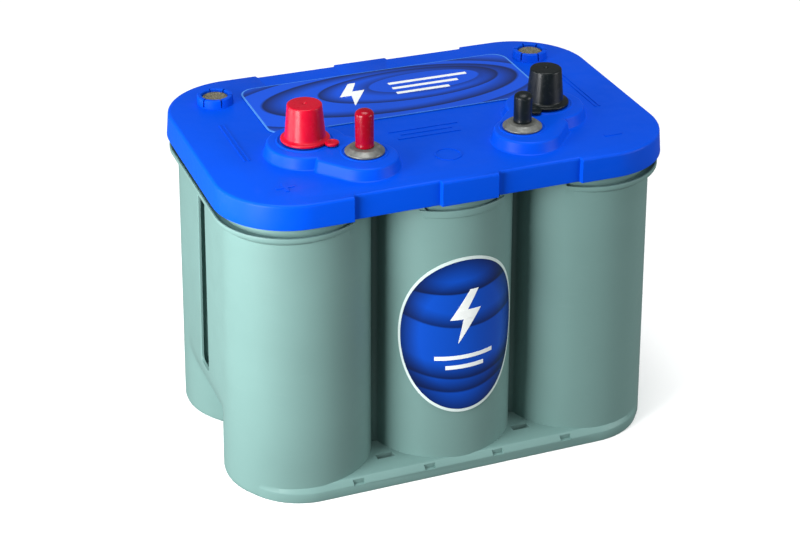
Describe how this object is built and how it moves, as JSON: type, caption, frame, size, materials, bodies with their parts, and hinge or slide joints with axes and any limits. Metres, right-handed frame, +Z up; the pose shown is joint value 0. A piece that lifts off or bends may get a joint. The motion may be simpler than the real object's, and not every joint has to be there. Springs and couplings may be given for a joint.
{
  "type": "deep cycle battery",
  "caption": "Sealed dual-terminal deep cycle battery with cylindrical cells, a stepped lid, tapered posts, threaded studs and pull-off terminal caps.",
  "frame": {"origin": "centre of the underside, on the surface that the battery stands on", "axes": "+X along the long side towards the negative terminals, +Y away from the terminal side, +Z up"},
  "size_m": [0.254, 0.171, 0.2129],
  "materials": {
    "case": "satin moulded polypropylene, grey-green",
    "lid": "semi-gloss moulded polypropylene, strong blue",
    "inner_cover": "satin moulded polypropylene, dark blue",
    "red_vinyl": "semi-gloss soft vinyl, red",
    "black_vinyl": "semi-gloss soft vinyl, black",
    "lead": "dull cast lead",
    "steel": "stainless steel",
    "glass_mat": "absorbed glass mat round lead plates",
    "rubber": "matte black rubber",
    "porous": "porous sintered disc, grey-brown",
    "label_film": "printed film, blue"
  },
  "bodies": {
    "battery": {"case": "case", "lid": "lid", "vent_plate": "inner_cover", "cell_roll_1": "glass_mat", "positive_strap_1": "lead", "negative_strap_1": "lead", "relief_valve_1": "rubber", "cell_roll_2": "glass_mat", "positive_strap_2": "lead", "negative_strap_2": "lead", "relief_valve_2": "rubber", "cell_roll_3": "glass_mat", "positive_strap_3": "lead", "negative_strap_3": "lead", "relief_valve_3": "rubber", "cell_roll_4": "glass_mat", "positive_strap_4": "lead", "negative_strap_4": "lead", "relief_valve_4": "rubber", "cell_roll_5": "glass_mat", "positive_strap_5": "lead", "negative_strap_5": "lead", "relief_valve_5": "rubber", "cell_roll_6": "glass_mat", "positive_strap_6": "lead", "negative_strap_6": "lead", "relief_valve_6": "rubber", "intercell_link_1": "lead", "intercell_link_2": "lead", "intercell_link_3": "lead", "intercell_link_4": "lead", "intercell_link_5": "lead", "positive_riser": "lead", "positive_post": "lead", "positive_stud_base": "lead", "positive_stud": "steel", "positive_post_seal": "rubber", "positive_stud_seal": "rubber", "negative_riser": "lead", "negative_post": "lead", "negative_stud_base": "lead", "negative_stud": "steel", "negative_post_seal": "rubber", "negative_stud_seal": "rubber", "vent_disc_left": "porous", "vent_disc_right": "porous", "lid_label": "label_film", "front_label": "label_film"},
    "red_post_cap": {"red_post_cap": "red_vinyl"},
    "black_post_cap": {"black_post_cap": "black_vinyl"},
    "red_stud_cover": {"red_stud_cover": "red_vinyl"},
    "black_stud_cover": {"black_stud_cover": "black_vinyl"}
  },
  "joints": [
    {"name": "red_post_cap_lift", "type": "slide", "parent": "battery", "child": "red_post_cap", "axis": [0, 0, 1], "range_m": [0, 0.03]},
    {"name": "black_post_cap_lift", "type": "slide", "parent": "battery", "child": "black_post_cap", "axis": [0, 0, 1], "range_m": [0, 0.03]},
    {"name": "red_stud_cover_lift", "type": "slide", "parent": "battery", "child": "red_stud_cover", "axis": [0, 0, 1], "range_m": [0, 0.03]},
    {"name": "black_stud_cover_lift", "type": "slide", "parent": "battery", "child": "black_stud_cover", "axis": [0, 0, 1], "range_m": [0, 0.03]}
  ]
}
